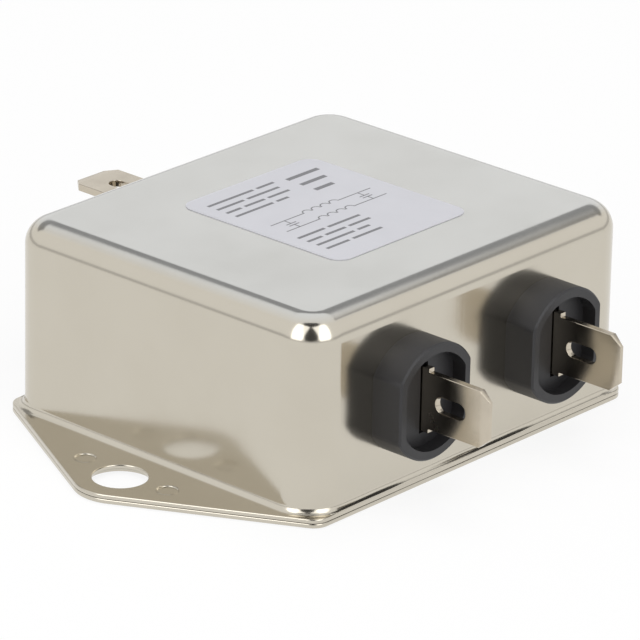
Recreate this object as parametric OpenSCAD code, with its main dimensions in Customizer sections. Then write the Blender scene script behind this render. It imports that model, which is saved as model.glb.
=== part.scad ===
// Mains line filter in a drawn steel can with blade terminals on both long sides.
// Frame: the mounting plane is z = 0, the fixing holes lie along X, the line side is +Y,
// the load side is -Y, and the origin is under the middle of the can.

/* [Can] */
// Length of the can along X
case_len = 50.2; // [46:0.1:56]
// Width of the can along Y
case_wid = 43.5; // [43:0.1:50]
// Height from the mounting plane to the top of the can
case_h = 22.3; // [22:0.1:28]
// Radius of the four upright corners
corner_r = 4.3; // [3.4:0.1:6]
// Radius of the top edge
top_r = 2.9; // [1.5:0.1:3.2]
// Thickness of the can's steel sheet
sheet_t = 0.5; // [0.3:0.05:0.8]
// Radius where the wall turns out into the flange
root_r = 0.8; // [0.4:0.1:1.2]

/* [Flange and base] */
// Distance between the two fixing holes
hole_pitch = 61; // [58:0.5:66]
// Diameter of the fixing holes
hole_d = 5.9; // [4.3:0.1:6.4]
// Radius of the rounded tip of each ear
ear_r = 5; // [4:0.1:6]
// Lip of the flange beyond the long walls
lip = 0.5; // [0.3:0.1:1.5]
// Radius of the flange's corners
flange_r = 2; // [1:0.1:4]
// Thickness of the base plate
base_t = 0.5; // [0.3:0.05:1]
// Diameter of the clearance holes in the base plate
base_hole_d = 7; // [6.4:0.1:8]
// Diameter of the press joints that hold can and base plate together
joint_d = 2.3; // [1.5:0.1:2.6]
// Depth of a press joint's dent
joint_depth = 0.12; // [0.05:0.01:0.2]
// Distance between the two press joints of one ear
joint_pitch = 11.8; // [10.5:0.1:14]
// Distance from a fixing hole's centre line to its press joints, towards the can
joint_inset = 0.9; // [0:0.1:1.5]

/* [Terminals] */
// Distance between the two terminals of one side
tab_pitch = 21; // [20:0.5:22]
// Height of the terminals above the mounting plane
tab_z = 11; // [10:0.1:12]
// Width of the blade
blade_w = 6.3; // [4.8:0.1:6.3]
// Thickness of the blade
blade_t = 0.8; // [0.5:0.1:0.8]
// Reach of the blade's tip beyond the wall
blade_reach = 11.25; // [10:0.05:13]
// Length of the chamfers at the tip
tip_len = 1.25; // [0.8:0.05:1.5]
// Width of the chamfers at the tip
tip_in = 1.1; // [0.5:0.05:1.3]
// Thickness left at the coined tip
tip_t = 0.4; // [0.2:0.05:0.5]
// Distance from the tip to the middle of the detent slot
slot_back = 5.15; // [4.8:0.05:5.5]
// Length of the detent slot
slot_len = 4; // [3:0.1:4.4]
// Width of the detent slot
slot_w = 1.8; // [1.4:0.1:2]
// Width of the shoulders
shoulder_w = 7.2; // [6.8:0.1:7.4]
// Reach of the shoulders beyond the wall
shoulder_reach = 3.2; // [2.8:0.1:3.6]
// Width of the solder tail inside the can
tail_w = 4; // [3:0.1:5]
// Length of the solder tail
tail_len = 3.5; // [2.5:0.1:3.5]
// Diameter of the solder hole in the tail
tail_hole_d = 1.4; // [1:0.1:1.6]

/* [Insulators] */
// Diameter of an insulator
ins_d = 12.8; // [12:0.1:13.4]
// Width of an insulator across its flats
ins_w = 11; // [10.4:0.1:11.8]
// Radius between a flat and the round
ins_corner_r = 1.2; // [0.5:0.1:1.8]
// Reach of an insulator beyond the wall
ins_reach = 3.85; // [3.4:0.05:4.4]
// Chamfer round the front edge
ins_edge = 0.2; // [0.1:0.05:0.4]
// Rim at the flats
rim_side = 0.95; // [0.8:0.05:1.2]
// Rim at the round ends
rim_end = 1.05; // [0.8:0.05:1.4]
// Depth of the recess inside the rim
recess_depth = 1.7; // [1:0.1:2]
// Diameter of the neck that passes through the wall
neck_d = 10.4; // [9.6:0.1:10.8]
// Width of the neck across its flats
neck_w = 8.6; // [8:0.1:9]
// Length of the neck inside the wall
neck_in = 2.5; // [2:0.1:2.5]
// Radius between a flat and the round of the neck
neck_corner_r = 0.8; // [0.3:0.1:1.2]
// Height of the snap ribs behind the wall
snap_h = 0.45; // [0.2:0.05:0.6]
// Width of the snap ribs
snap_w = 4; // [2:0.5:5]

/* [Earth tab] */
// Height of the earth blade above the mounting plane
earth_z = 16.7; // [16:0.1:17.5]
// Reach of the earth blade beyond the wall
earth_reach = 12.3; // [11:0.1:13]
// Width of the welded foot
foot_w = 7; // [6.3:0.1:8]
// Length of the welded foot down the wall
foot_len = 6; // [4:0.1:8]
// Inside radius of the bend
bend_r = 0.4; // [0.2:0.1:0.8]
// Diameter of the spot welds on the foot
weld_d = 1.8; // [1:0.1:2.4]
// Depth of a spot weld's dent
weld_depth = 0.1; // [0.05:0.01:0.2]

/* [Label] */
// Length of the label along X
label_len = 20.7; // [16:0.1:30]
// Width of the label along Y
label_wid = 23; // [16:0.1:28]
// Radius of the label's corners
label_r = 1.8; // [0.5:0.1:3]
// Shift of the label along X from the middle of the top
label_dx = 0.3; // [-1:0.1:1]
// Shift of the label along Y from the middle of the top
label_dy = -0.2; // [-1:0.1:1]
// Thickness of the label
label_t = 0.08; // [0.05:0.01:0.2]

/* [Chokes] */
// Outer diameter of a ring core
core_od = 15.2; // [14:0.1:15.4]
// Inner diameter of a ring core
core_id = 8.4; // [7.8:0.1:9]
// Height of a ring core
core_h = 7; // [5:0.1:7.5]
// Radius of the core's coated edges
core_edge = 0.7; // [0.3:0.1:1]
// Diameter of the winding wire
wire_d = 0.7; // [0.4:0.05:0.75]
// Number of turns in each winding
turns = 11; // [6:1:11]
// Angle that one winding covers
wound_angle = 150; // [140:1:152]
// Distance between the two chokes
choke_pitch = 17.4; // [17.2:0.1:18]
// Thickness of the divider between the two windings of a choke
divider_t = 0.8; // [0.5:0.1:1]

/* [Capacitors and resistor] */
// Thickness of an X capacitor along X
xcap_t = 8.5; // [6:0.1:9]
// Length of an X capacitor along Y
xcap_len = 18; // [16:0.1:18.5]
// Height of an X capacitor
xcap_h = 14; // [10:0.1:14.5]
// Distance of the X capacitors from the middle of the can
xcap_x = 15.3; // [14.5:0.1:16]
// Distance between the two leads of an X capacitor
xcap_pitch = 15; // [10:0.5:15.5]
// Diameter of a Y capacitor's disc
ycap_d = 8.5; // [7:0.1:9]
// Thickness of a Y capacitor's disc
ycap_t = 3.6; // [2.5:0.1:4]
// Distance of the Y capacitors from the middle of the can
ycap_x = 18; // [17:0.1:19]
// Distance between the two leads of a Y capacitor
ycap_pitch = 5; // [4:0.5:6]
// Radius of the edges of an X capacitor's case
xcap_edge = 0.8; // [0.3:0.1:1.2]
// Diameter of the bleed resistor
res_d = 2.5; // [1.8:0.1:3.2]
// Length of the bleed resistor
res_len = 6.8; // [5:0.1:8]
// Diameter of the component leads
lead_d = 0.6; // [0.4:0.05:0.8]
// Diameter of the insulated jumper wire
jumper_d = 1.3; // [0.8:0.1:1.6]

/* [Fill and insulation] */
// Depth of the potting under the can's top
potting_depth = 4.8; // [4:0.1:4.8]
// Thickness of the insulating sheet on the base plate
sheet_ins_t = 0.3; // [0.1:0.05:0.5]

/* [Clearances] */
// Gap round an insulator's neck in the wall
neck_gap = 0.1; // [0.05:0.05:0.2]
// Gap between a blade's faces and its insulator's slot
slot_gap = 0.15; // [0.05:0.05:0.25]
// Gap between a blade's edges and its insulator's slot
slot_end_gap = 0.3; // [0.1:0.05:0.4]
// Gap between the winding wire and its core
wire_gap = 0.05; // [0.03:0.01:0.1]
// Gap round the parts that stand in the potting
pot_gap = 0.1; // [0.05:0.05:0.3]
// Gap round the edge of the insulating sheet
film_gap = 0.5; // [0.2:0.1:1]

/* [Hidden] */

eps = 0.01;
// Straight edges end a hair inside the arcs they run into, so that the two cross cleanly
hair = 0.001;
fine = 96;
medium = 48;

steel = [0.78, 0.77, 0.72];
tinned = [0.82, 0.81, 0.77];
black_plastic = [0.18, 0.18, 0.19];
ferrite = [0.20, 0.42, 0.30];
copper = [0.72, 0.36, 0.16];
resin = [0.24, 0.22, 0.20];

wall_y = case_wid / 2;
wall_in_x = case_len / 2 - sheet_t;
wall_in_y = wall_y - sheet_t;
roof_z = case_h - sheet_t;
flange_z = base_t;
flange_top = base_t + sheet_t;
hole_x = hole_pitch / 2;

flange_corner = [case_len / 2 - flange_r, wall_y + lip - flange_r];

neck_end = wall_in_y - neck_in;
tail_end = neck_end - tail_len;
tail_mid = (neck_end + tail_end) / 2;
solder_x = tab_pitch / 2 + blade_t / 2 + lead_d / 2;
solder_y = tail_end + lead_d / 2 + 0.4;

wire_r = wire_d / 2;
lead_r = lead_d / 2;
pot_z = roof_z - potting_depth;
part_roof = roof_z - 2.3;

core_top = part_roof - wire_d - wire_gap;
core_bottom = core_top - core_h;
leg_in = core_id / 2 - wire_gap - wire_r;
leg_out = core_od / 2 + wire_gap + wire_r;
leg_top = core_top + wire_gap + wire_r;
leg_bottom = core_bottom - wire_gap - wire_r;
turn_angle = wound_angle / turns;
wire_bend = 1.2 * wire_r;
wire_sides = 8;
choke_y = choke_pitch / 2;
lead_z = leg_bottom - wire_d;
splice_z = lead_z - 4;
splice_len = 1.2;
splice_gap = 0.02;
divider_grip = 1.2;

xcap_bottom = part_roof - xcap_h;
ycap_y = -(tail_end + 0.4);
ycap_z = part_roof - ycap_d / 2;
lead_floor = xcap_bottom - 1.1;
jumper_z = lead_floor - 1.9;
res_z = xcap_bottom - 0.5;

// ---------- shared shapes ----------

// Box with round upright corners and a rounded top edge, standing on z = 0
module drawn_box(len, wid, h, r_corner, r_top) {
    dx = len / 2 - r_corner;
    dy = wid / 2 - r_corner;
    module side(reach) {
        square([reach, h - r_top]);
        square([reach - r_top, h]);
        translate([reach - r_top, h - r_top]) circle(r = r_top, $fn = fine);
    }
    for (sx = [-1, 1], sy = [-1, 1])
        translate([sx * dx, sy * dy, 0])
            rotate_extrude($fn = fine) intersection() {
                side(r_corner);
                square([r_corner, h]);
            }
    for (a = [0, 180])
        rotate([90, 0, a]) translate([0, 0, -dy])
            linear_extrude(2 * dy) side(len / 2);
    for (a = [90, 270])
        rotate([90, 0, a]) translate([0, 0, -dx])
            linear_extrude(2 * dx) side(wid / 2);
}

// Sheet with the flange's outline: four corner arcs, two ear tips and their tangents
module ear_sheet(t) {
    gap = [hole_x - flange_corner[0], -flange_corner[1]];
    span = norm(gap);
    lean = atan2(gap[1], gap[0]);
    turn = acos((flange_r - ear_r) / span);
    along = lean + turn;
    touch_corner = flange_corner + (flange_r - hair) * [cos(along), sin(along)];
    touch_tip = [hole_x, 0] + (ear_r - hair) * [cos(along), sin(along)];
    for (sx = [-1, 1]) {
        translate([sx * hole_x, 0, 0]) cylinder(h = t, r = ear_r, $fn = fine);
        for (sy = [-1, 1])
            translate([sx * flange_corner[0], sy * flange_corner[1], 0])
                cylinder(h = t, r = flange_r, $fn = fine);
    }
    right = [
        [flange_corner[0], flange_corner[1] + flange_r - hair],
        touch_corner,
        touch_tip,
        [touch_tip[0], -touch_tip[1]],
        [touch_corner[0], -touch_corner[1]],
        [flange_corner[0], hair - flange_corner[1] - flange_r]
    ];
    left = [for (i = [5 : -1 : 0]) [-right[i][0], right[i][1]]];
    linear_extrude(t) polygon(concat(right, left));
}

module fixing_holes(d, z, h) {
    for (sx = [-1, 1])
        translate([sx * hole_x, 0, z]) cylinder(h = h, d = d, $fn = fine);
}

module press_joints(z, h) {
    for (sx = [-1, 1], sy = [-1, 1])
        translate([sx * (hole_x - joint_inset), sy * joint_pitch / 2, z])
            cylinder(h = h, d = joint_d, $fn = medium);
}

// Concave fillet between the can's wall and the flange
module root_fillet() {
    dx = case_len / 2 - corner_r;
    dy = wall_y - corner_r;
    module profile(reach) {
        difference() {
            translate([reach - eps, 0]) square(root_r + eps);
            translate([reach + root_r, root_r]) circle(r = root_r, $fn = medium);
        }
    }
    translate([0, 0, flange_top]) {
        for (sx = [-1, 1], sy = [-1, 1])
            translate([sx * dx, sy * dy, 0])
                rotate_extrude($fn = fine) profile(corner_r);
        for (a = [0, 180])
            rotate([90, 0, a]) translate([0, 0, -dy])
                linear_extrude(2 * dy) profile(case_len / 2);
        for (a = [90, 270])
            rotate([90, 0, a]) translate([0, 0, -dx])
                linear_extrude(2 * dx) profile(wall_y);
    }
}

// Round with two flats and rounded corners between them, extruded along +Y from y = 0
module flatted(d, w, r, len) {
    cx = w / 2 - r;
    cz = sqrt(pow(d / 2 - r, 2) - pow(cx, 2));
    rotate([-90, 0, 0]) linear_extrude(len) {
        square([w, 2 * cz], center = true);
        for (sx = [-1, 1], sz = [-1, 1])
            translate([sx * cx, sz * cz]) circle(r = r, $fn = medium);
        for (sz = [-1, 1])
            intersection() {
                circle(d = d, $fn = fine);
                polygon([[0, 0], [-cx, sz * cz] * 3, [cx, sz * cz] * 3]);
            }
    }
}

// Puts a piece of the line side's right-hand terminal at any of the four terminals
module at_terminal(side, hand) {
    rotate([0, 0, side > 0 ? 0 : 180])
        translate([side * hand * tab_pitch / 2, 0, tab_z]) children();
}

function unit(v) = v / norm(v);

// Direction of a path at each of its points
function headings(path) = [
    for (i = [0 : len(path) - 1])
        unit(path[min(i + 1, len(path) - 1)] - path[max(i - 1, 0)])
];

// One axis across the path at each point, turned as little as possible from point to point
function cross_axes(along, first) = [
    for (i = 0, u = unit(first - (first * along[0]) * along[0]);
         i < len(along);
         i = i + 1, u = i < len(along) ? unit(u - (u * along[i]) * along[i]) : u)
        u
];

// Round wire swept along a smooth path, as one closed skin with flat ends
module swept_wire(path, r, sides) {
    along = headings(path);
    across = cross_axes(along, [0.3, 0.5, 1]);
    last = len(path) - 1;
    rings = [
        for (i = [0 : last], k = [0 : sides - 1])
            path[i] + r * cos(360 * k / sides) * across[i]
                + r * sin(360 * k / sides) * cross(along[i], across[i])
    ];
    walls = [
        for (i = [0 : last - 1], k = [0 : sides - 1], half = [0, 1])
            let (a = i * sides + k, b = i * sides + (k + 1) % sides)
            half == 0 ? [a, a + sides, b] : [b, a + sides, b + sides]
    ];
    start = [for (k = [0 : sides - 1]) k];
    finish = [for (k = [sides - 1 : -1 : 0]) last * sides + k];
    polyhedron(points = rings, faces = concat(walls, [start], [finish]));
}

// Path through a list of points, with a round bend at each point between its ends
function bent_path(points, bend, steps = 4) =
    let (last = len(points) - 1, way = [for (i = [0 : last - 1]) unit(points[i + 1] - points[i])])
    [
        points[0],
        for (i = [1 : 1 : last - 1])
            let (
                u = way[i - 1],
                inward = unit(way[i] - (way[i] * u) * u),
                turn = acos(way[i] * u),
                middle = points[i] - bend * tan(turn / 2) * u + bend * inward
            )
            for (k = [0 : steps])
                let (a = turn * k / steps) middle + bend * (sin(a) * u - cos(a) * inward),
        points[last]
    ];

// Bent lead or jumper of that radius
module wire(points, r) {
    swept_wire(bent_path(points, 2 * r), r, wire_sides);
}

// ---------- can and base ----------

module can() {
    color(steel) difference() {
        union() {
            translate([0, 0, flange_z])
                drawn_box(case_len, case_wid, case_h - flange_z, corner_r, top_r);
            translate([0, 0, flange_z]) ear_sheet(sheet_t);
            intersection() {
                root_fillet();
                translate([0, 0, flange_z]) ear_sheet(sheet_t + root_r);
            }
        }
        translate([0, 0, flange_z - eps])
            drawn_box(
                2 * wall_in_x, 2 * wall_in_y, roof_z - flange_z + eps,
                corner_r - sheet_t, top_r - sheet_t
            );
        fixing_holes(hole_d, flange_z - eps, sheet_t + 2 * eps);
        press_joints(flange_top - joint_depth, joint_depth + eps);
        for (side = [-1, 1], hand = [-1, 1])
            at_terminal(side, hand) translate([0, wall_in_y - 1, 0])
                flatted(neck_d + 2 * neck_gap, neck_w + 2 * neck_gap, neck_corner_r, sheet_t + 2);
    }
}

module base_plate() {
    color(steel) difference() {
        ear_sheet(base_t);
        fixing_holes(base_hole_d, -eps, base_t + 2 * eps);
    }
}

// ---------- terminals ----------

// Cuts the chamfer round an insulator's front edge, on the round and on both flats
module front_chamfer() {
    over = 1;
    module corner(reach) {
        polygon([
            [reach - ins_edge - over, ins_reach + over],
            [reach + over, ins_reach + over],
            [reach + over, ins_reach - ins_edge - over]
        ]);
    }
    translate([0, wall_y, 0]) {
        rotate([-90, 0, 0]) rotate_extrude($fn = fine) corner(ins_d / 2);
        linear_extrude(ins_d, center = true) corner(ins_w / 2);
        mirror([1, 0, 0]) linear_extrude(ins_d, center = true) corner(ins_w / 2);
    }
}

// Ramped rib that locks the neck behind the wall
module snap_rib() {
    foot = neck_d / 2 - 0.6;
    crest = neck_d / 2 + snap_h;
    catch = wall_in_y - neck_gap;
    rotate([90, 0, 90]) linear_extrude(snap_w, center = true)
        polygon([[catch, foot], [catch, crest], [catch - 0.3, crest], [neck_end, foot]]);
}

module insulator() {
    recess_y = wall_y + ins_reach - recess_depth;
    difference() {
        union() {
            translate([0, wall_y, 0]) flatted(ins_d, ins_w, ins_corner_r, ins_reach);
            translate([0, neck_end, 0])
                flatted(neck_d, neck_w, neck_corner_r, wall_y - neck_end + eps);
            snap_rib();
            mirror([0, 0, 1]) snap_rib();
        }
        front_chamfer();
        translate([0, recess_y, 0])
            flatted(ins_d - 2 * rim_end, ins_w - 2 * rim_side, neck_corner_r, ins_reach);
        translate([0, wall_y, 0])
            cube(
                [blade_t + 2 * slot_gap, 2 * (ins_reach + neck_in + 1), shoulder_w + 2 * slot_end_gap],
                center = true
            );
    }
}

// Blade lying flat: it points along +X, is blade_w wide in Y and ends at x = tip
module blade(root, tip) {
    half = blade_w / 2;
    bevel = tip - tip_len;
    intersection() {
        linear_extrude(blade_t, center = true) difference() {
            polygon([
                [root, half], [bevel, half], [tip, half - tip_in],
                [tip, tip_in - half], [bevel, -half], [root, -half]
            ]);
            translate([tip - slot_back, 0]) {
                square([slot_len - slot_w, slot_w], center = true);
                for (s = [-1, 1])
                    translate([s * (slot_len - slot_w) / 2, 0]) circle(d = slot_w, $fn = medium);
            }
        }
        rotate([90, 0, 0]) linear_extrude(2 * blade_w, center = true)
            polygon([
                [root, blade_t / 2], [bevel, blade_t / 2], [tip, tip_t / 2],
                [tip, -tip_t / 2], [bevel, -blade_t / 2], [root, -blade_t / 2]
            ]);
    }
}

module tab() {
    shoulder_y = wall_y + shoulder_reach;
    rotate([90, 0, 90]) {
        blade(shoulder_y - eps, wall_y + blade_reach);
        linear_extrude(blade_t, center = true) difference() {
            union() {
                translate([neck_end, -shoulder_w / 2]) square([shoulder_y - neck_end, shoulder_w]);
                translate([tail_end, -tail_w / 2]) square([tail_len + eps, tail_w]);
            }
            translate([tail_mid, 0]) circle(d = tail_hole_d, $fn = medium);
        }
    }
}

module earth_tab() {
    bend_y = wall_y + blade_t + bend_r;
    bend_z = earth_z - blade_t / 2 - bend_r;
    weld_pitch = foot_len / 2;
    foot_mid = bend_z - foot_len / 2;
    color(tinned) difference() {
        union() {
            rotate([90, 0, 90]) linear_extrude(foot_w, center = true) {
                translate([wall_y, bend_z - foot_len]) square([blade_t, foot_len]);
                intersection() {
                    difference() {
                        translate([bend_y, bend_z]) circle(r = blade_t + bend_r, $fn = fine);
                        translate([bend_y, bend_z]) circle(r = bend_r, $fn = fine);
                    }
                    translate([wall_y, bend_z]) square(blade_t + bend_r);
                }
            }
            translate([0, 0, earth_z]) rotate([0, 0, 90])
                blade(bend_y, wall_y + earth_reach);
        }
        for (s = [-1, 1])
            translate([0, wall_y + blade_t - weld_depth, foot_mid + s * weld_pitch / 2])
                rotate([-90, 0, 0]) cylinder(h = 1, d = weld_d, $fn = medium);
    }
}

module insulator_line_left() color(black_plastic) at_terminal(1, -1) insulator();
module insulator_line_right() color(black_plastic) at_terminal(1, 1) insulator();
module insulator_load_left() color(black_plastic) at_terminal(-1, -1) insulator();
module insulator_load_right() color(black_plastic) at_terminal(-1, 1) insulator();

module tab_line_left() color(tinned) at_terminal(1, -1) tab();
module tab_line_right() color(tinned) at_terminal(1, 1) tab();
module tab_load_left() color(tinned) at_terminal(-1, -1) tab();
module tab_load_right() color(tinned) at_terminal(-1, 1) tab();

module rounded_sheet(len, wid, r, t) {
    linear_extrude(t) {
        square([len - 2 * r, wid], center = true);
        square([len, wid - 2 * r], center = true);
        for (sx = [-1, 1], sy = [-1, 1])
            translate([sx * (len / 2 - r), sy * (wid / 2 - r)]) circle(r = r, $fn = fine);
    }
}

module label() {
    color([0.90, 0.89, 0.93]) translate([label_dx, label_dy, case_h])
        rounded_sheet(label_len, label_wid, label_r, label_t);
}

// ---------- chokes ----------

// Coated ring core with rounded edges
module ring_core() {
    rotate_extrude($fn = fine) translate([core_id / 2, core_bottom]) {
        wall = (core_od - core_id) / 2;
        translate([core_edge, 0]) square([wall - 2 * core_edge, core_h]);
        translate([0, core_edge]) square([wall, core_h - 2 * core_edge]);
        for (x = [core_edge, wall - core_edge], z = [core_edge, core_h - core_edge])
            translate([x, z]) circle(r = core_edge, $fn = medium);
    }
}

function around(angle, reach, z) = [reach * cos(angle), reach * sin(angle), z];

// One turn at an angle: up outside the core, in over it, down its hole and out to the next turn
function one_turn(angle) = [
    around(angle, leg_out, leg_bottom + wire_bend),
    around(angle, leg_out, leg_top - wire_bend),
    around(angle, leg_out - wire_bend, leg_top),
    around(angle, leg_in + wire_bend, leg_top),
    around(angle, leg_in, leg_top - wire_bend),
    around(angle, leg_in, leg_bottom + wire_bend),
    around(angle, leg_in + wire_bend, leg_bottom),
    around(angle - turn_angle, leg_out - wire_bend, leg_bottom)
];

// Winding on the +X half of the ring, from the terminal's solder hole to the splice at y = -choke_y
module winding() {
    first = wound_angle / 2;
    lead_y = tail_mid - choke_y;
    foot = around(first, leg_out, lead_z);
    drop = around(-first, leg_out, leg_bottom - wire_bend);
    splice_y = wire_r + splice_gap - choke_y;
    lead_in = [
        [tab_pitch / 2 + blade_t / 2 + wire_d, lead_y, tab_z],
        [tab_pitch / 2 - blade_t / 2 - wire_d, lead_y, tab_z],
        foot + [wire_bend, 0, 0],
        foot + [0, 0, wire_bend]
    ];
    lead_out = [
        drop,
        [drop[0], drop[1], splice_z + 2 * splice_len],
        [drop[0], splice_y, splice_z + splice_len],
        [drop[0], splice_y, splice_z]
    ];
    coil = [for (i = [0 : turns - 1]) each one_turn(first - i * turn_angle)];
    swept_wire(concat(lead_in, coil, lead_out), wire_r, wire_sides);
}

// Divider that stands in the core's hole and grips the core from below
module divider() {
    half = core_id / 2 - wire_gap;
    grip = half + divider_grip;
    rotate([90, 0, 90]) linear_extrude(divider_t, center = true) {
        translate([-half, core_bottom]) square([2 * half, core_h]);
        translate([-grip, core_bottom - divider_t]) square([2 * grip, divider_t]);
    }
}

module choke_core_line() color(ferrite) translate([0, choke_y, 0]) ring_core();
module choke_core_load() color(ferrite) translate([0, -choke_y, 0]) ring_core();
module divider_line() color(black_plastic) translate([0, choke_y, 0]) divider();
module divider_load() color(black_plastic) translate([0, -choke_y, 0]) divider();

module winding_line_right() color(copper) translate([0, choke_y, 0]) winding();
module winding_line_left() color(copper) mirror([1, 0, 0]) winding_line_right();
module winding_load_right() color(copper) mirror([0, 1, 0]) winding_line_right();
module winding_load_left() color(copper) mirror([1, 0, 0]) winding_load_right();

// ---------- capacitors, resistor and jumper ----------

// Box capacitor's case, without its leads
module xcap_case() {
    foot = 0.6;
    translate([0, 0, xcap_bottom]) difference() {
        drawn_box(xcap_t, xcap_len, xcap_h, xcap_edge, xcap_edge / 2);
        cube([xcap_t - 2 * xcap_edge, xcap_len - 4 * xcap_edge, 2 * foot], center = true);
        cube([xcap_t + 1, xcap_len - 8 * xcap_edge, foot], center = true);
    }
}

// Box capacitor across the line terminals: one lead to the right-hand tail, one to the jumper
module x_capacitor_line() {
    color([0.78, 0.70, 0.36]) translate([xcap_x, 0, 0]) xcap_case();
    color(tinned) {
        wire([
            [xcap_x, xcap_pitch / 2, xcap_bottom + 1],
            [xcap_x, xcap_pitch / 2, lead_floor],
            [solder_x, solder_y, lead_floor],
            [solder_x, solder_y, tab_z + 1]
        ], lead_r);
        wire([
            [xcap_x, -xcap_pitch / 2, xcap_bottom + 1],
            [xcap_x, -xcap_pitch / 2, lead_floor]
        ], lead_r);
    }
}

// Box capacitor between the chokes: its leads run under the chokes to the two splices
module x_capacitor_mid() {
    splice_x = leg_out * cos(wound_angle / 2) + wire_r + 0.02;
    lead_rise = splice_x + 3.5;
    join_z = splice_z + splice_len / 2;
    color([0.78, 0.70, 0.36]) translate([-xcap_x, 0, 0]) xcap_case();
    color(tinned) {
        wire([
            [-xcap_x, xcap_pitch / 2, xcap_bottom + 1],
            [-xcap_x, xcap_pitch / 2, lead_floor],
            [-lead_rise, 0, lead_floor],
            [-lead_rise, 0, join_z],
            [-splice_x, 0, join_z]
        ], lead_r);
        wire([
            [-xcap_x, -xcap_pitch / 2, xcap_bottom + 1],
            [-xcap_x, -xcap_pitch / 2, lead_floor],
            [lead_rise, 0, lead_floor],
            [lead_rise, 0, join_z],
            [splice_x, 0, join_z]
        ], lead_r);
    }
}

// Disc capacitor from the load side's right-hand tail to the can's end wall
module y_capacitor() {
    bulge = ycap_t / 2;
    lead_z = tab_z - tail_w / 2 + lead_d;
    color([0.25, 0.45, 0.70]) translate([ycap_x, ycap_y, ycap_z]) rotate([90, 0, 0])
        rotate_extrude($fn = fine) intersection() {
            union() {
                translate([0, -bulge]) square([ycap_d / 2 - bulge, ycap_t]);
                translate([ycap_d / 2 - bulge, 0]) circle(r = bulge, $fn = medium);
            }
            translate([0, -bulge]) square([ycap_d / 2, ycap_t]);
        }
    color(tinned) {
        wire([
            [ycap_x - ycap_pitch / 2, ycap_y, ycap_z - ycap_d / 4],
            [ycap_x - ycap_pitch / 2, ycap_y, lead_z],
            [tab_pitch / 2 + blade_t / 2, ycap_y, lead_z]
        ], lead_r);
        wire([
            [ycap_x + ycap_pitch / 2, ycap_y, ycap_z - ycap_d / 4],
            [ycap_x + ycap_pitch / 2, ycap_y, lead_z],
            [wall_in_x, ycap_y, lead_z]
        ], lead_r);
    }
}

module y_capacitor_right() y_capacitor();
module y_capacitor_left() mirror([1, 0, 0]) y_capacitor();

module bleed_resistor() {
    inner_x = tab_pitch / 2 - blade_t / 2 - lead_r;
    cap_len = res_len / 4;
    cap_rise = 0.2;
    color([0.30, 0.50, 0.60]) translate([0, solder_y, res_z]) rotate([0, 90, 0]) {
        cylinder(h = res_len, d = res_d - 2 * cap_rise, center = true, $fn = medium);
        for (s = [-1, 1])
            translate([0, 0, s * (res_len - cap_len) / 2])
                cylinder(h = cap_len, d = res_d, center = true, $fn = medium);
    }
    color(tinned) for (s = [-1, 1])
        wire([
            [s * (res_len / 2 - 1), solder_y, res_z],
            [s * inner_x, solder_y, res_z],
            [s * inner_x, solder_y, tab_z + 1]
        ], lead_r);
}

// Insulated wire from the line capacitor, under the parts, to the left-hand line tail
module jumper_wire() {
    stripped_z = tab_z - tail_w / 2 - 2;
    color([0.55, 0.10, 0.10]) wire([
        [xcap_x, -xcap_pitch / 2, lead_floor],
        [xcap_x, -xcap_pitch / 2, jumper_z],
        [-solder_x, solder_y, jumper_z],
        [-solder_x, solder_y, stripped_z]
    ], jumper_d / 2);
    color(tinned) wire([
        [-solder_x, solder_y, stripped_z - 1],
        [-solder_x, solder_y, tab_z + 1]
    ], lead_r);
}

// ---------- fill and insulation ----------

// Resin at the can's top, with a pocket for each part that stands in it
module potting() {
    pocket_h = part_roof - pot_z + pot_gap;
    color(resin) difference() {
        intersection() {
            translate([0, 0, flange_z])
                drawn_box(
                    2 * wall_in_x, 2 * wall_in_y, roof_z - flange_z,
                    corner_r - sheet_t, top_r - sheet_t
                );
            translate([-case_len, -case_wid, pot_z]) cube([2 * case_len, 2 * case_wid, case_h]);
        }
        for (s = [-1, 1]) {
            translate([0, s * choke_y, pot_z - eps])
                cylinder(h = pocket_h + eps, r = leg_out + wire_r + pot_gap, $fn = fine);
            translate([s * xcap_x, 0, pot_z + pocket_h / 2 - eps])
                cube(
                    [xcap_t + 2 * pot_gap, xcap_len + 2 * pot_gap, pocket_h + eps],
                    center = true
                );
            translate([s * ycap_x, ycap_y, ycap_z]) rotate([90, 0, 0])
                cylinder(h = ycap_t + 2 * pot_gap, r = ycap_d / 2 + pot_gap, center = true, $fn = fine);
        }
    }
}

module base_insulation() {
    color([0.72, 0.74, 0.70]) translate([0, 0, base_t])
        rounded_sheet(
            2 * (wall_in_x - film_gap), 2 * (wall_in_y - film_gap),
            corner_r - sheet_t, sheet_ins_t
        );
}

can();
base_plate();
insulator_line_left();
insulator_line_right();
insulator_load_left();
insulator_load_right();
tab_line_left();
tab_line_right();
tab_load_left();
tab_load_right();
earth_tab();
label();
potting();
base_insulation();
choke_core_line();
choke_core_load();
winding_line_left();
winding_line_right();
winding_load_left();
winding_load_right();
divider_line();
divider_load();
x_capacitor_line();
x_capacitor_mid();
y_capacitor_left();
y_capacitor_right();
bleed_resistor();
jumper_wire();
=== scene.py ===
"""Looks of a mains line filter: plated can, insulators, tinned blades, label and the parts inside."""

import math

import bmesh
import bpy
from mathutils import Matrix, Vector


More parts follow.
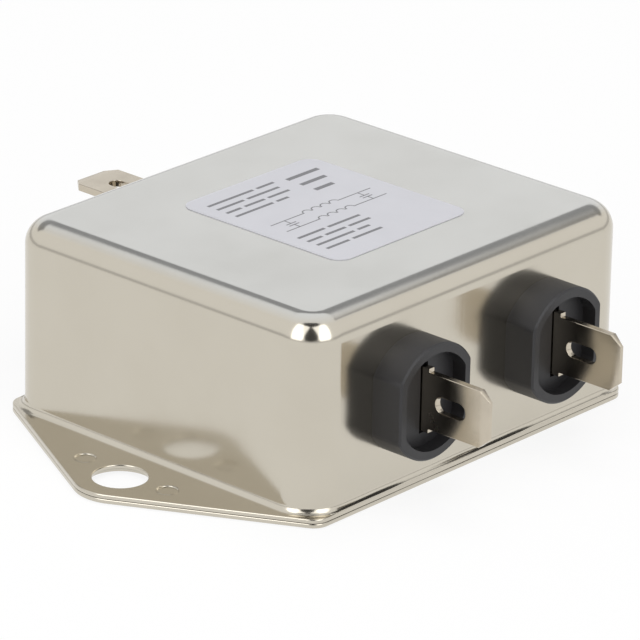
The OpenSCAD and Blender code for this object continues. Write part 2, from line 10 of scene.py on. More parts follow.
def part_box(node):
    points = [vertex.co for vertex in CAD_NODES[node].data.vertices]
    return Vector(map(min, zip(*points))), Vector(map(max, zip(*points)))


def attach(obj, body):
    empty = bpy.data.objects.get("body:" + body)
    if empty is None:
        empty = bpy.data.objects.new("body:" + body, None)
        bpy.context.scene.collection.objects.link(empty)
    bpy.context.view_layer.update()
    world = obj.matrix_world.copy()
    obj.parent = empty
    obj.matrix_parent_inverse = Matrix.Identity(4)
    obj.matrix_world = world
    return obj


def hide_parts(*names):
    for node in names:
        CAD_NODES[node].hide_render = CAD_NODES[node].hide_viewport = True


bl_info = {
    "name": "Line filter looks",
    "version": (1, 0, 0),
    "blender": (4, 5, 0),
    "location": "View3D > Sidebar > Line filter",
    "description": "Dresses the packed line filter and sets its studio",
    "category": "Object",
}

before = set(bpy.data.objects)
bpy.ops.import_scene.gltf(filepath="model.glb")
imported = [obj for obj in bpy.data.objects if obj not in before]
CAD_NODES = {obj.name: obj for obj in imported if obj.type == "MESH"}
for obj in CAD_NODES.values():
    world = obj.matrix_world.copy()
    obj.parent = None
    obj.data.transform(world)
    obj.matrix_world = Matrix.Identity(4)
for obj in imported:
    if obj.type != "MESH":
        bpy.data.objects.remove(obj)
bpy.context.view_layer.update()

MM = 0.001
BODY = "root"
SAME_POINT = 0.002 * MM
SAME_PLANE = math.radians(0.2)
INSULATORS = ("insulator_line_left", "insulator_line_right", "insulator_load_left", "insulator_load_right")
BLADES = ("tab_line_left", "tab_line_right", "tab_load_left", "tab_load_right")
WINDINGS = ("winding_line_left", "winding_line_right", "winding_load_left", "winding_load_right")

# Stage, in metres in the shared frame.
CAMERA_AIM = Vector((-0.0003, -0.0004, 0.0098))
LAMP_AIM = Vector((0, 0, 0.01))
FLOOR_SIZE = 6.0
FLOOR_DROP = 0.0001
FLOOR_WHITE = 0.86
SOFTBOX = {"width": 0.62, "height": 1.15, "power": 3.6}
SOFTBOX_ASIDE = math.radians(39)
SOFTBOX_RISE = math.radians(36)
SOFTBOX_DISTANCE = 1.0
OVERHEAD = {"width": 0.7, "height": 0.7, "power": 4.5}
OVERHEAD_PLACE = (0.15, 0.15, 1.2)
GAP_WIDTH = 0.92
GAP_HEIGHT = 2.2
GAP_RISE = math.radians(42)
GAP_DISTANCE = 1.3
GAP_GLOW = 0.06
CEILING_RADIUS = 1.5
CEILING_SPAN = (0.80, 1.52)
CEILING_HALF_ARC = math.radians(62)
CEILING_GLOW = 0.34
HORIZON_RADIUS = 1.6
HORIZON_SPAN = (0.02, 0.24)
HORIZON_GLOW = 0.62


# ---------- settings ----------


def colour(name, description, value):
    return bpy.props.FloatVectorProperty(
        name=name, description=description, subtype="COLOR", size=3, min=0.0, max=1.0, default=value
    )


def length(name, description, millimetres):
    return bpy.props.FloatProperty(
        name=name, description=description, subtype="DISTANCE", unit="LENGTH", min=0.0,
        default=millimetres * MM,
    )


def share(name, description, value, top=1.0):
    return bpy.props.FloatProperty(
        name=name, description=description, subtype="FACTOR", min=0.0, max=top, default=value
    )


def angle(name, description, degrees):
    return bpy.props.FloatProperty(
        name=name, description=description, subtype="ANGLE", unit="ROTATION", default=math.radians(degrees)
    )


class PlatingSettings(bpy.types.PropertyGroup):
    """Plated sheet of the can and the base plate"""

    # Painted reflection: the neutral flat colour and the warmer wall colour stand in for what the top and
    # the walls mirror.
    flat_painted_reflection: colour("Flat painted reflection", "Plating on faces that lie flat", (0.62, 0.62, 0.60))
    wall_painted_reflection: colour("Wall painted reflection", "Plating on the drawn walls", (0.585, 0.545, 0.465))
    roughness: share("Roughness", "How far the plating blurs what it mirrors", 0.16)
    sheet_edge: length("Sheet edge", "Radius on the sheared edges of the sheet", 0.12)
    grain: share("Grain", "Depth of the fine orange-peel grain", 0.10)
    draw_marks: share("Draw marks", "Depth of the upright marks of deep drawing", 0.16)


class MouldingSettings(bpy.types.PropertyGroup):
    """Black moulded insulators"""

    colour: colour("Colour", "Colour of the moulding", (0.013, 0.0125, 0.014))
    roughness: share("Roughness", "Gloss of the moulding", 0.47)
    edge: length("Edge", "Radius on the moulded edges", 0.12)
    texture: share("Texture", "Depth of the fine spark-eroded texture", 0.12)


class BladeSettings(bpy.types.PropertyGroup):
    """Tinned blades"""

    colour: colour("Colour", "Colour of the tin plating", (0.58, 0.52, 0.425))
    roughness: share("Roughness", "How far the blades blur what they mirror", 0.2)
    edge: length("Edge", "Radius on the blanked edges", 0.07)


class LabelSettings(bpy.types.PropertyGroup):
    """Film label with plain printed rules"""

    film_colour: colour("Film colour", "Colour of the film", (0.66, 0.66, 0.70))
    ink_colour: colour("Ink colour", "Colour of the print", (0.16, 0.16, 0.17))
    ink_height: length("Ink height", "How far the print stands up", 0.004)
    corner: length("Corner", "Radius of the film's corners", 1.8)


class StageSettings(bpy.types.PropertyGroup):
    """Camera, lamps and floor"""

    azimuth: angle("Azimuth", "Direction the camera looks in, from +Y towards +X", 48.41)
    elevation: angle("Elevation", "How far the camera looks down", 22.34)
    roll: angle("Roll", "Turn of the camera about its own axis", 1.23)
    distance: length("Distance", "From the camera to the point it looks at", 599.5)
    lens: bpy.props.FloatProperty(
        name="Lens", description="Focal length on a 36 mm sensor", unit="CAMERA", default=316.3
    )
    ambient: share("Ambient", "Light of the world on matt surfaces", 0.36, 2.0)


SETTINGS = {
    "filter_plating": PlatingSettings,
    "filter_moulding": MouldingSettings,
    "filter_blades": BladeSettings,
    "filter_label": LabelSettings,
    "filter_stage": StageSettings,
}


# ---------- meshes ----------


def shade_by_angle(mesh, limit=math.radians(32)):
    """Smooth shading, with hard edges only where faces meet at more than the limit."""
    mesh.shade_smooth()
    mesh.set_sharp_from_angle(angle=limit)


def eased_copy(node, edge, segments=3, corner=math.radians(34), clamp=False):
    """A copy of a CAD node with its coplanar triangles joined and its sharp edges rounded."""
    source = CAD_NODES[node]
    mesh = bpy.data.meshes.new("eased_" + node)
    bm = bmesh.new()
    bm.from_mesh(source.data)
    bmesh.ops.remove_doubles(bm, verts=bm.verts, dist=SAME_POINT)
    bmesh.ops.dissolve_limit(bm, angle_limit=SAME_PLANE, verts=bm.verts, edges=bm.edges)
    bm.to_mesh(mesh)
    bm.free()
    piece = bpy.data.objects.new("eased_" + node, mesh)
    bpy.context.scene.collection.objects.link(piece)
    bevel = piece.modifiers.new("edges", "BEVEL")
    bevel.width = edge
    bevel.segments = segments
    bevel.limit_method = "ANGLE"
    bevel.angle_limit = corner
    bevel.use_clamp_overlap = clamp
    bevel.miter_outer = "MITER_ARC"
    mesh.shade_smooth()
    evened = piece.modifiers.new("evened", "WEIGHTED_NORMAL")
    evened.weight = 100
    evened.keep_sharp = True
    shape = bpy.data.meshes.new_from_object(piece.evaluated_get(bpy.context.evaluated_depsgraph_get()))
    piece.modifiers.clear()
    piece.data = shape
    return piece


def mesh_piece(name, fill):
    """A new object whose mesh fill makes."""
    mesh = bpy.data.meshes.new(name)
    bm = bmesh.new()
    fill(bm)
    bmesh.ops.recalc_face_normals(bm, faces=bm.faces)
    bm.to_mesh(mesh)
    bm.free()
    piece = bpy.data.objects.new(name, mesh)
    bpy.context.scene.collection.objects.link(piece)
    return piece


def slab(bm, outline, z0, z1):
    """Closed slab between two heights, over an outline of (x, y) points."""
    lower = [bm.verts.new((x, y, z0)) for x, y in outline]
    upper = [bm.verts.new((x, y, z1)) for x, y in outline]
    bm.faces.new(upper)
    bm.faces.new(lower[::-1])
    for i, corner in enumerate(lower):
        j = (i + 1) % len(lower)
        bm.faces.new((corner, lower[j], upper[j], upper[i]))


def rounded_slab(bm, low, high, radius, z0, z1, steps=10):
    """Slab with rounded corners over the rectangle from low to high."""
    outline = []
    centres = (
        (high.x - radius, high.y - radius), (low.x + radius, high.y - radius),
        (low.x + radius, low.y + radius), (high.x - radius, low.y + radius),
    )
    for quarter, (x, y) in enumerate(centres):
        for step in range(steps + 1):
            turn = math.pi / 2 * (quarter + step / steps)
            outline.append((x + radius * math.cos(turn), y + radius * math.sin(turn)))
    slab(bm, outline, z0, z1)


def printed_bar(bm, x, y, width, depth, z0, z1):
    """Printed rectangle with one corner at x, y."""
    slab(bm, [(x, y), (x + width, y), (x + width, y + depth), (x, y + depth)], z0, z1)


def printed_arch(bm, x, y, radius, line, z0, z1, steps=8):
    """Printed half ring on a centre, one hump of a coil symbol."""
    turns = [math.pi * step / steps for step in range(steps + 1)]
    outer = [(x + radius * math.cos(t), y + radius * math.sin(t)) for t in turns]
    within = radius - line
    inner = [(x + within * math.cos(t), y + within * math.sin(t)) for t in reversed(turns)]
    slab(bm, outer + inner, z0, z1)


def print_label(bm, low, high, z0, z1):
    """Plain rules above and below a bare diagram of two coils and two capacitors."""
    width = high.x - low.x
    depth = high.y - low.y
    line = 0.16 * MM
    margin = 0.09 * width
    rule = 0.42 * MM
    row_pitch = 1.35 * MM
    word_gap = 0.55 * MM
    widths = ((0.34, 0.13), (0.20, 0.24), (0.11, 0.15, 0.16), (0.28, 0.09), (0.17, 0.22))
    for block, y_top in enumerate((0.90, 0.34)):
        for row, parts in enumerate(widths[block:block + 4]):
            x = low.x + margin
            y = low.y + y_top * depth - row * row_pitch
            for part in parts:
                printed_bar(bm, x, y - rule, part * width, rule, z0, z1)
                x += part * width + word_gap
    hump = 0.7 * MM
    humps = 4
    left = low.x + 0.12 * width
    right = high.x - 0.12 * width
    coil_start = (left + right) / 2 - humps * hump
    for y in (low.y + 0.52 * depth, low.y + 0.42 * depth):
        printed_bar(bm, left, y, coil_start - left, line, z0, z1)
        for i in range(humps):
            printed_arch(bm, coil_start + (2 * i + 1) * hump, y, hump, line, z0, z1)
        coil_end = coil_start + 2 * humps * hump
        printed_bar(bm, coil_end, y, right - coil_end, line, z0, z1)
    for x in (left + 0.1 * width, right - 0.1 * width):
        middle = low.y + 0.47 * depth
        gap = 0.22 * MM
        plate = 1.5 * MM
        for side in (-1, 1):
            printed_bar(bm, x - plate / 2, middle + side * gap - line / 2, plate, line, z0, z1)
            reach = 0.05 * depth - gap
            start = middle + gap if side > 0 else middle - gap - reach
            printed_bar(bm, x - line / 2, start, line, reach, z0, z1)
    heading_x = high.x - 0.34 * width
    heading = 1.5 * rule
    for row in range(3):
        y = low.y + 0.88 * depth - row * 1.5 * row_pitch
        printed_bar(bm, heading_x, y - heading, (0.24 - 0.05 * row) * width, heading, z0, z1)


def stand_for(piece, node):
    """piece is shown in place of a CAD node and moves with its body."""
    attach(piece, BODY)
    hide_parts(node)


def dress(obj, material):
    """Gives an object that one material."""
    obj.data.materials.clear()
    obj.data.materials.append(material)


def dress_node(node, material):
    """Gives a CAD node its material and smooth shading."""
    obj = CAD_NODES[node]
    dress(obj, material)
    shade_by_angle(obj.data)


# ---------- shader groups ----------


def new_group(name, inputs, outputs):
    """An empty shader group with float inputs (name, default) and outputs (name, type)."""
    group = bpy.data.node_groups.new(name, "ShaderNodeTree")
    for label, default in inputs:
        socket = group.interface.new_socket(name=label, in_out="INPUT", socket_type="NodeSocketFloat")
        socket.default_value = default
    for label, kind in outputs:
        group.interface.new_socket(name=label, in_out="OUTPUT", socket_type=kind)
    return group, group.nodes.new("NodeGroupInput"), group.nodes.new("NodeGroupOutput")


def noise(tree, position, scale, detail=3.0, roughness=0.5):
    node = tree.nodes.new("ShaderNodeTexNoise")
    tree.links.new(position, node.inputs["Vector"])
    node.inputs["Detail"].default_value = detail
    node.inputs["Roughness"].default_value = roughness
    if isinstance(scale, (int, float)):
        node.inputs["Scale"].default_value = scale
    else:
        tree.links.new(scale, node.inputs["Scale"])
    return node.outputs["Fac"]


def maths(tree, operation, a, b=None):
    node = tree.nodes.new("ShaderNodeMath")
    node.operation = operation
    for socket, value in zip(node.inputs, (a, b)):
        if value is None:
            continue
        if isinstance(value, (int, float)):
            socket.default_value = value
        else:
            tree.links.new(value, socket)
    return node.outputs[0]


def spread(tree, value, low, high, to_low=0.0, to_high=1.0):
    node = tree.nodes.new("ShaderNodeMapRange")
    tree.links.new(value, node.inputs["Value"])
    for label, number in (("From Min", low), ("From Max", high), ("To Min", to_low), ("To Max", to_high)):
        node.inputs[label].default_value = number
    return node.outputs["Result"]


def blend_colours(tree, mask, first, second):
    node = tree.nodes.new("ShaderNodeMix")
    node.data_type = "RGBA"
    tree.links.new(mask, node.inputs[0])
    for socket, value in ((node.inputs[6], first), (node.inputs[7], second)):
        if isinstance(value, bpy.types.NodeSocket):
            tree.links.new(value, socket)
        else:
            socket.default_value = (*value, 1.0)
    return node.outputs[2]


def object_position(tree):
    return tree.nodes.new("ShaderNodeTexCoord").outputs["Object"]


def stretched(tree, position, scale):
    node = tree.nodes.new("ShaderNodeMapping")
    tree.links.new(position, node.inputs["Vector"])
    node.inputs["Scale"].default_value = scale
    return node.outputs["Vector"]


def grain_group():
    """Fine grain of a surface: a height, and a patchy mask for gloss and colour."""
    group, given, result = new_group(
        "Surface grain",
        [("Grain size", 0.25), ("Patch size", 6.0)],
        [("Height", "NodeSocketFloat"), ("Patches", "NodeSocketFloat")],
    )
    position = object_position(group)
    fine = noise(group, position, maths(group, "DIVIDE", 1.0 / MM, given.outputs["Grain size"]), 4.0, 0.6)
    broad = noise(group, position, maths(group, "DIVIDE", 1.0 / MM, given.outputs["Patch size"]), 4.0, 0.55)
    group.links.new(fine, result.inputs["Height"])
    group.links.new(spread(group, broad, 0.3, 0.7), result.inputs["Patches"])
    return group


def wear_group():
    """Fine scratches and rubbed spots, as a mask and a height."""
    group, given, result = new_group(
        "Handling wear",
        [("Amount", 0.5)],
        [("Scratches", "NodeSocketFloat"), ("Rub", "NodeSocketFloat")],
    )
    position = object_position(group)
    lines = None
    for turn, scale in ((0.5, (90.0, 2600.0, 2600.0)), (-0.9, (2300.0, 110.0, 2300.0))):
        node = group.nodes.new("ShaderNodeMapping")
        group.links.new(position, node.inputs["Vector"])
        node.inputs["Rotation"].default_value = (turn * 0.3, turn * 0.2, turn)
        node.inputs["Scale"].default_value = scale
        line = spread(group, noise(group, node.outputs["Vector"], 1.0, 2.0), 0.70, 0.76)
        lines = line if lines is None else maths(group, "MAXIMUM", lines, line)
    rub = spread(group, noise(group, position, 340.0, 5.0, 0.65), 0.52, 0.75)
    group.links.new(maths(group, "MULTIPLY", lines, given.outputs["Amount"]), result.inputs["Scratches"])
    group.links.new(maths(group, "MULTIPLY", rub, given.outputs["Amount"]), result.inputs["Rub"])
    return group


def shared_group(name, make):
    return bpy.data.node_groups.get(name) or make()


def place_group(tree, group, **values):
    node = tree.nodes.new("ShaderNodeGroup")
    node.node_tree = group
    for label, value in values.items():
        node.inputs[label.replace("_", " ")].default_value = value
    return node.outputs


def new_material(name):
    material = bpy.data.materials.new(name)
    material.use_nodes = True
    tree = material.node_tree
    return material, tree, tree.nodes["Principled BSDF"]


def bump(tree, shader, height, strength, distance):
    node = tree.nodes.new("ShaderNodeBump")
    node.inputs["Strength"].default_value = strength
    node.inputs["Distance"].default_value = distance
    tree.links.new(height, node.inputs["Height"])
    tree.links.new(node.outputs["Normal"], shader.inputs["Normal"])


# ---------- materials ----------


def plating_material(settings):
    """Satin nickel on drawn steel with upright draw marks; its colour holds a painted reflection, neutral
    on the flat top and warmer on the walls and elsewhere.
    """
    material, tree, shader = new_material("satin_plating")
    grain = place_group(tree, shared_group("Surface grain", grain_group), Grain_size=0.5, Patch_size=9.0)
    wear = place_group(tree, shared_group("Handling wear", wear_group), Amount=0.15)
    position = object_position(tree)
    facing = tree.nodes.new("ShaderNodeTexCoord").outputs["Normal"]
    split = tree.nodes.new("ShaderNodeSeparateXYZ")
    tree.links.new(facing, split.inputs["Vector"])
    height = tree.nodes.new("ShaderNodeSeparateXYZ")
    tree.links.new(position, height.inputs["Vector"])
    # Painted reflection: faces lying flat near the top get the neutral colour, all other faces the warmer
    # one.
    high = spread(tree, height.outputs["Z"], 18 * MM, 20 * MM)
    flat = maths(tree, "MULTIPLY", spread(tree, split.outputs["Z"], 0.72, 0.97), high)
    wall = spread(tree, split.outputs["Z"], 0.5, 0.05)
    painted_reflection_tone = blend_colours(tree, flat, settings.wall_painted_reflection, settings.flat_painted_reflection)
    stains_and_reflection = tree.nodes.new("ShaderNodeMix")
    stains_and_reflection.data_type = "RGBA"
    stains_and_reflection.blend_type = "MULTIPLY"
    tree.links.new(spread(tree, grain["Patches"], 0.2, 1.0, 0.0, 0.07), stains_and_reflection.inputs[0])
    tree.links.new(painted_reflection_tone, stains_and_reflection.inputs[6])
    stains_and_reflection.inputs[7].default_value = (0.70, 0.66, 0.58, 1.0)
    # Painted shade: a thin dark line on upright faces at the height where the can sits on the base plate.
    sheet_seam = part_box("can")[0][2]
    off_seam = maths(tree, "ABSOLUTE", maths(tree, "SUBTRACT", height.outputs["Z"], sheet_seam))
    seam_shade_mask = maths(tree, "MULTIPLY", spread(tree, off_seam, 0.09 * MM, 0.03 * MM), wall)
    seam_shade_colour = (0.10, 0.09, 0.07)
    tree.links.new(blend_colours(tree, seam_shade_mask, stains_and_reflection.outputs[2], seam_shade_colour), shader.inputs["Base Color"])
    shader.inputs["Metallic"].default_value = 1.0
    rough = spread(tree, grain["Patches"], 0.0, 1.0, settings.roughness - 0.02, settings.roughness + 0.03)
    rubbed = maths(tree, "MULTIPLY", wear["Rub"], 0.05)
    tree.links.new(maths(tree, "ADD", rough, rubbed), shader.inputs["Roughness"])
    marks = noise(tree, stretched(tree, position, (900.0, 900.0, 14.0)), 1.0, 3.0, 0.6)
    drawn = maths(tree, "MULTIPLY", maths(tree, "MULTIPLY", marks, wall), settings.draw_marks)
    grained = maths(tree, "MULTIPLY", grain["Height"], settings.grain)
    scratched = maths(tree, "MULTIPLY", wear["Scratches"], -0.05)
    relief = maths(tree, "ADD", maths(tree, "ADD", drawn, grained), scratched)
    bump(tree, shader, relief, 1.0, 0.02 * MM)
    return material


def moulding_material(settings):
    """Black moulded plastic with a fine eroded texture."""
    material, tree, shader = new_material("black_moulding")
    grain = place_group(tree, shared_group("Surface grain", grain_group), Grain_size=0.22, Patch_size=4.0)
    wear = place_group(tree, shared_group("Handling wear", wear_group), Amount=0.35)
    lighter = tuple(min(1.0, 1.5 * c) for c in settings.colour)
    tone = blend_colours(tree, maths(tree, "MULTIPLY", grain["Patches"], 0.5), settings.colour, lighter)
    tree.links.new(tone, shader.inputs["Base Color"])
    rough = spread(tree, grain["Patches"], 0.0, 1.0, settings.roughness - 0.04, settings.roughness + 0.05)
    rubbed = maths(tree, "MULTIPLY", wear["Rub"], 0.06)
    tree.links.new(maths(tree, "ADD", rough, rubbed), shader.inputs["Roughness"])
    shader.inputs["IOR"].default_value = 1.55
    textured = maths(tree, "MULTIPLY", grain["Height"], settings.texture)
    relief = maths(tree, "ADD", textured, wear["Scratches"])
    bump(tree, shader, relief, 0.35, 0.02 * MM)
    return material


def tin_material(settings):
    """Bright tin plating on blanked brass, rolled along the blade."""
    material, tree, shader = new_material("tin_plating")
    grain = place_group(tree, shared_group("Surface grain", grain_group), Grain_size=0.4, Patch_size=3.0)
    wear = place_group(tree, shared_group("Handling wear", wear_group), Amount=0.8)
    position = object_position(tree)
    rolled = noise(tree, stretched(tree, position, (2400.0, 60.0, 2400.0)), 1.0, 3.0, 0.6)
    darker = tuple(0.86 * c for c in settings.colour)
    tone = blend_colours(tree, maths(tree, "MULTIPLY", grain["Patches"], 0.5), settings.colour, darker)
    tree.links.new(tone, shader.inputs["Base Color"])
    shader.inputs["Metallic"].default_value = 1.0
    rough = spread(tree, grain["Patches"], 0.0, 1.0, settings.roughness - 0.03, settings.roughness + 0.04)
    rubbed = maths(tree, "MULTIPLY", wear["Rub"], 0.08)
    tree.links.new(maths(tree, "ADD", rough, rubbed), shader.inputs["Roughness"])
    rolling = maths(tree, "MULTIPLY", rolled, 0.12)
    scratched = maths(tree, "MULTIPLY", wear["Scratches"], -0.15)
    relief = maths(tree, "ADD", rolling, scratched)
    bump(tree, shader, relief, 1.0, 0.02 * MM)
    return material


def film_material(settings):
    """Matt printed film."""
    material, tree, shader = new_material("label_film")
    grain = place_group(tree, shared_group("Surface grain", grain_group), Grain_size=0.3, Patch_size=5.0)
    warmer = tuple(0.97 * c for c in settings.film_colour)
    tone = blend_colours(tree, grain["Patches"], settings.film_colour, warmer)
    tree.links.new(tone, shader.inputs["Base Color"])
    tree.links.new(spread(tree, grain["Patches"], 0.0, 1.0, 0.5, 0.6), shader.inputs["Roughness"])
    bump(tree, shader, grain["Height"], 0.15, 0.01 * MM)
    return material


def ink_material(settings):
    """Thermal print with slightly uneven density."""
    material, tree, shader = new_material("label_ink")
    grain = place_group(tree, shared_group("Surface grain", grain_group), Grain_size=0.12, Patch_size=0.8)
    paler = tuple(1.7 * c for c in settings.ink_colour)
    tone = blend_colours(tree, maths(tree, "MULTIPLY", grain["Height"], 0.8), settings.ink_colour, paler)
    tree.links.new(tone, shader.inputs["Base Color"])
    tree.links.new(spread(tree, grain["Patches"], 0.0, 1.0, 0.45, 0.6), shader.inputs["Roughness"])
    return material


def bare_wire_mask(tree, axis, start, side):
    """1 where the part is bare tinned wire: past start along an axis, above or below it as side says."""
    split = tree.nodes.new("ShaderNodeSeparateXYZ")
    tree.links.new(object_position(tree), split.inputs["Vector"])
    along = split.outputs[axis]
    if axis == "X":
        along = maths(tree, "ABSOLUTE", along)
    return spread(tree, along, start - side * 0.05 * MM, start + side * 0.05 * MM)


def plain_material(name, tone, shift, rough, metallic=0.0, depth=0.3, bare=None):
    """Finish of a part inside the can: two tones in patches over a fine grain, with its leads bare."""
    material, tree, shader = new_material(name)
    grain = place_group(tree, shared_group("Surface grain", grain_group), Grain_size=0.4, Patch_size=2.5)
    other = tuple(max(0.0, min(1.0, c * shift)) for c in tone)
    toned = blend_colours(tree, grain["Patches"], tone, other)
    if bare is None:
        shader.inputs["Metallic"].default_value = metallic
    else:
        mask = bare_wire_mask(tree, *bare)
        tinned = (0.72, 0.71, 0.68)
        toned = blend_colours(tree, mask, toned, tinned)
        tree.links.new(mask, shader.inputs["Metallic"])
    tree.links.new(toned, shader.inputs["Base Color"])
    gloss = spread(tree, grain["Patches"], 0.0, 1.0, rough - 0.04, rough + 0.06)
    tree.links.new(gloss, shader.inputs["Roughness"])
    bump(tree, shader, grain["Height"], depth, 0.03 * MM)
    return material


# ---------- operators ----------


class FILTER_OT_can(bpy.types.Operator):
    """Eases the edges of the can and the base plate and gives them their plating"""

    bl_idname = "filter.can"
    bl_label = "Dress the can"

    def execute(self, context):
        settings = context.scene.filter_plating
        material = plating_material(settings)
        for node in ("can", "base_plate"):
            piece = eased_copy(node, settings.sheet_edge)
            dress(piece, material)
            stand_for(piece, node)
        return {"FINISHED"}


class FILTER_OT_insulators(bpy.types.Operator):
    """Rounds the insulators' moulded edges and gives them their plastic"""

    bl_idname = "filter.insulators"
    bl_label = "Dress the insulators"

    def execute(self, context):
        settings = context.scene.filter_moulding
        material = moulding_material(settings)
        for node in INSULATORS:
            piece = eased_copy(node, settings.edge, clamp=True)
            dress(piece, material)
            stand_for(piece, node)
        return {"FINISHED"}


class FILTER_OT_blades(bpy.types.Operator):
    """Eases the blanked edges of the blades and gives them their tin plating"""

    bl_idname = "filter.blades"
    bl_label = "Dress the blades"

    def execute(self, context):
        settings = context.scene.filter_blades
        material = tin_material(settings)
        for node in (*BLADES, "earth_tab"):
            piece = eased_copy(node, settings.edge)
            dress(piece, material)
            stand_for(piece, node)
        return {"FINISHED"}


class FILTER_OT_label(bpy.types.Operator):
    """Gives the label its film and prints plain rules and a simple circuit on it"""

    bl_idname = "filter.label"
    bl_label = "Dress the label"

    def execute(self, context):
        settings = context.scene.filter_label
        low, high = (Vector(corner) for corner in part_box("label"))
        film_top = high.z - settings.ink_height
        corner = settings.corner
        film = mesh_piece("label_film", lambda bm: rounded_slab(bm, low, high, corner, low.z, film_top))
        dress(film, film_material(settings))
        stand_for(film, "label")
        ink = mesh_piece("label_print", lambda bm: print_label(bm, low, high, film_top, high.z))
        dress(ink, ink_material(settings))
        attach(ink, BODY)
        return {"FINISHED"}


class FILTER_OT_inside(bpy.types.Operator):
    """Gives the parts inside the can their finishes"""

    bl_idname = "filter.inside"
    bl_label = "Dress the inside"

    def execute(self, context):
        finishes = (
            (("potting",), plain_material("cast_resin", (0.05, 0.045, 0.04), 1.5, 0.4)),
            (("base_insulation",), plain_material("insulating_film", (0.62, 0.65, 0.60), 0.9, 0.35)),
            (
                ("choke_core_line", "choke_core_load"),
                plain_material("core_coat", (0.08, 0.30, 0.18), 0.75, 0.45, depth=0.6),
            ),
            (
                ("divider_line", "divider_load"),
                plain_material("divider_plastic", (0.05, 0.05, 0.055), 1.4, 0.5),
            ),
            (WINDINGS, plain_material("enamelled_copper", (0.62, 0.26, 0.09), 0.85, 0.25, metallic=0.9)),
            (
                ("x_capacitor_line", "x_capacitor_mid"),
                plain_material("capacitor_case", (0.70, 0.55, 0.16), 0.93, 0.4, bare=("Z", 5.5 * MM, -1)),
            ),
            (
                ("y_capacitor_left", "y_capacitor_right"),
                plain_material(
                    "disc_coating", (0.07, 0.22, 0.55), 0.8, 0.35, depth=0.6, bare=("Z", 11 * MM, -1)
                ),
            ),
            (
                ("bleed_resistor",),
                plain_material("resistor_lacquer", (0.14, 0.33, 0.42), 0.8, 0.35, bare=("X", 3.4 * MM, 1)),
            ),
            (
                ("jumper_wire",),
                plain_material("wire_insulation", (0.42, 0.03, 0.03), 0.85, 0.4, bare=("Z", 7 * MM, 1)),
            ),
        )
        for nodes, material in finishes:
            for node in nodes:
                dress_node(node, material)
        return {"FINISHED"}


# ---------- stage ----------


def seen_directly(tree):
    """1 for camera, glossy and transmission rays, else 0."""
    path = tree.nodes.new("ShaderNodeLightPath")
    direct = maths(tree, "MAXIMUM", path.outputs["Is Camera Ray"], path.outputs["Is Glossy Ray"])
    return maths(tree, "MAXIMUM", direct, path.outputs["Is Transmission Ray"])


def stage_plane(name, width, depth, place, aim=None):
    """A flat rectangle of the stage, facing its aim."""
    mesh = bpy.data.meshes.new(name)
    x, y = width / 2, depth / 2
    mesh.from_pydata([(-x, -y, 0), (x, -y, 0), (x, y, 0), (-x, y, 0)], [], [(0, 1, 2, 3)])
    obj = bpy.data.objects.new(name, mesh)
    bpy.context.scene.collection.objects.link(obj)
    obj.location = place
    if aim is not None:
        obj.rotation_euler = (Vector(aim) - Vector(place)).to_track_quat("Z", "Y").to_euler()
    return obj


def ring_wall(name, radius, z0, z1, start, end, sides=64):
    """Upright wall of the studio on an arc round the part, which its rounded edges mirror."""
    mesh = bpy.data.meshes.new(name)
    turns = [start + (end - start) * i / sides for i in range(sides + 1)]
    points = [(radius * math.cos(t), radius * math.sin(t), z) for z in (z0, z1) for t in turns]
    faces = [(i, i + 1, sides + 2 + i, sides + 1 + i) for i in range(sides)]
    mesh.from_pydata(points, [], faces)
    obj = bpy.data.objects.new(name, mesh)
    bpy.context.scene.collection.objects.link(obj)
    return obj


def mirrored_only(obj):
    """Leaves a stage piece to mirror-like reflections alone."""
    obj.visible_camera = False
    obj.visible_diffuse = False
    obj.visible_transmission = False
    obj.visible_shadow = False


def glow_material(name, strength):
    material = bpy.data.materials.new(name)
    material.use_nodes = True
    tree = material.node_tree
    tree.nodes.clear()
    glow = tree.nodes.new("ShaderNodeEmission")
    glow.inputs["Color"].default_value = (strength, strength, strength, 1.0)
    tree.links.new(glow.outputs[0], tree.nodes.new("ShaderNodeOutputMaterial").inputs["Surface"])
    return material


def around_subject(azimuth, elevation, distance):
    """Point at that distance from the part, by direction from it."""
    level = distance * math.cos(elevation)
    return Vector((level * math.cos(azimuth), level * math.sin(azimuth), distance * math.sin(elevation)))


def area_lamp(name, place, aim, width, height, power):
    lamp = bpy.data.lights.new(name, "AREA")
    lamp.shape = "RECTANGLE"
    lamp.size = width
    lamp.size_y = height
    lamp.energy = power
    obj = bpy.data.objects.new(name, lamp)
    bpy.context.scene.collection.objects.link(obj)
    obj.location = place
    obj.rotation_euler = (Vector(aim) - Vector(place)).to_track_quat("-Z", "Y").to_euler()
    return obj


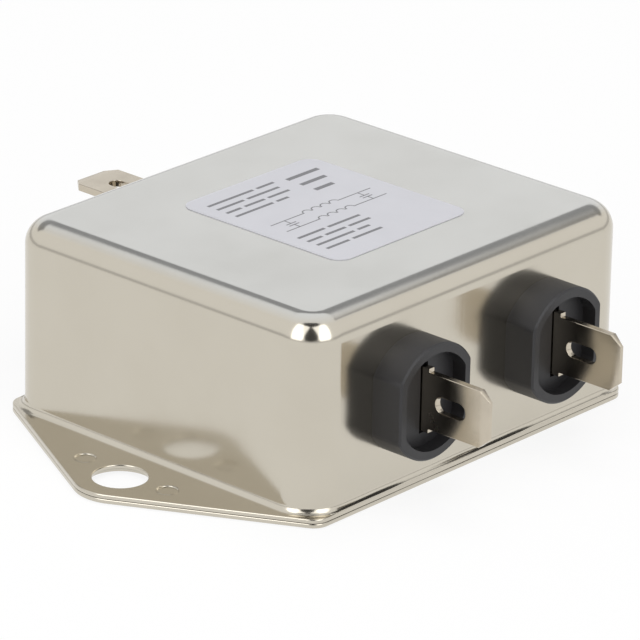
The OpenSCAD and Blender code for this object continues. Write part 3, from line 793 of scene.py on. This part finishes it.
class FILTER_OT_stage(bpy.types.Operator):
    """Sets the camera, the pale floor, the white surroundings and the soft lamps"""

    bl_idname = "filter.stage"
    bl_label = "Set the stage"

    def execute(self, context):
        settings = context.scene.filter_stage
        scene = context.scene
        scene.view_settings.view_transform = "Standard"
        look = Vector((
            math.sin(settings.azimuth) * math.cos(settings.elevation),
            math.cos(settings.azimuth) * math.cos(settings.elevation),
            -math.sin(settings.elevation),
        ))
        camera_data = bpy.data.cameras.new("camera")
        camera_data.sensor_width = 36.0
        camera_data.lens = settings.lens
        camera_data.clip_start = 0.01
        camera_data.clip_end = 50.0
        camera = bpy.data.objects.new("camera", camera_data)
        scene.collection.objects.link(camera)
        turn = look.to_track_quat("-Z", "Y").to_matrix() @ Matrix.Rotation(settings.roll, 3, "Z")
        camera.matrix_world = Matrix.Translation(CAMERA_AIM - settings.distance * look) @ turn.to_4x4()
        scene.camera = camera

        self.white_floor()
        self.white_world(scene, settings.ambient)
        self.lamps(settings.azimuth)
        return {"FINISHED"}

    def white_floor(self):
        floor = stage_plane("floor", FLOOR_SIZE, FLOOR_SIZE, (0, 0, -FLOOR_DROP))
        material = bpy.data.materials.new("floor_paper")
        material.use_nodes = True
        tree = material.node_tree
        shader = tree.nodes["Principled BSDF"]
        shader.inputs["Base Color"].default_value = (1.0, 1.0, 1.0, 1.0)
        shader.inputs["Roughness"].default_value = 0.9
        shader.inputs["Specular IOR Level"].default_value = 0.0
        glow = tree.nodes.new("ShaderNodeEmission")
        glow.inputs["Color"].default_value = (1.0, 1.0, 1.0, 1.0)
        mix = tree.nodes.new("ShaderNodeMixShader")
        share_of_white = maths(tree, "MULTIPLY", seen_directly(tree), FLOOR_WHITE)
        tree.links.new(share_of_white, mix.inputs[0])
        tree.links.new(shader.outputs[0], mix.inputs[1])
        tree.links.new(glow.outputs[0], mix.inputs[2])
        tree.links.new(mix.outputs[0], tree.nodes["Material Output"].inputs["Surface"])
        floor.data.materials.append(material)

    def white_world(self, scene, ambient):
        world = bpy.data.worlds.new("studio")
        world.use_nodes = True
        scene.world = world
        tree = world.node_tree
        background = tree.nodes["Background"]
        background.inputs["Color"].default_value = (1.0, 1.0, 1.0, 1.0)
        strength = spread(tree, seen_directly(tree), 0.0, 1.0, ambient, 1.0)
        tree.links.new(strength, background.inputs["Strength"])

    def lamps(self, azimuth):
        """Two softboxes, an overhead lamp, and the cards that only show in mirror images."""
        towards_camera = math.radians(270) - azimuth
        for name, side in (("left_softbox", -1), ("right_softbox", 1)):
            place = around_subject(towards_camera + side * SOFTBOX_ASIDE, SOFTBOX_RISE, SOFTBOX_DISTANCE)
            area_lamp(name, place, LAMP_AIM, **SOFTBOX)
        overhead = area_lamp("top_softbox", OVERHEAD_PLACE, LAMP_AIM, **OVERHEAD)
        overhead.visible_glossy = False
        gap_place = around_subject(towards_camera, GAP_RISE, GAP_DISTANCE)
        gap = stage_plane("camera_gap", GAP_WIDTH, GAP_HEIGHT, gap_place, LAMP_AIM)
        gap.data.materials.append(glow_material("studio_dark", GAP_GLOW))
        mirrored_only(gap)
        away = towards_camera + math.pi
        arc = (away - CEILING_HALF_ARC, away + CEILING_HALF_ARC)
        ceiling = ring_wall("studio_ceiling", CEILING_RADIUS, *CEILING_SPAN, *arc)
        ceiling.data.materials.append(glow_material("studio_shade", CEILING_GLOW))
        mirrored_only(ceiling)
        dusk = ring_wall("studio_horizon", HORIZON_RADIUS, *HORIZON_SPAN, 0.0, 2 * math.pi)
        dusk.data.materials.append(glow_material("studio_dusk", HORIZON_GLOW))
        mirrored_only(dusk)


class FILTER_PT_panel(bpy.types.Panel):
    """Lists the steps that dress the filter"""

    bl_idname = "FILTER_PT_panel"
    bl_label = "Line filter"
    bl_space_type = "VIEW_3D"
    bl_region_type = "UI"
    bl_category = "Line filter"

    def draw(self, context):
        for step in STEPS:
            self.layout.operator(step.bl_idname)


STEPS = (
    FILTER_OT_can,
    FILTER_OT_insulators,
    FILTER_OT_blades,
    FILTER_OT_label,
    FILTER_OT_inside,
    FILTER_OT_stage,
)


def register():
    for settings in SETTINGS.values():
        bpy.utils.register_class(settings)
    for name, settings in SETTINGS.items():
        setattr(bpy.types.Scene, name, bpy.props.PointerProperty(type=settings))
    for step in (*STEPS, FILTER_PT_panel):
        bpy.utils.register_class(step)


def unregister():
    for step in (FILTER_PT_panel, *reversed(STEPS)):
        bpy.utils.unregister_class(step)
    for name, settings in SETTINGS.items():
        delattr(bpy.types.Scene, name)
        bpy.utils.unregister_class(settings)


def main():
    register()
    for step in STEPS:
        group, name = step.bl_idname.split(".")
        getattr(getattr(bpy.ops, group), name)()


if __name__ == "__main__":
    main()
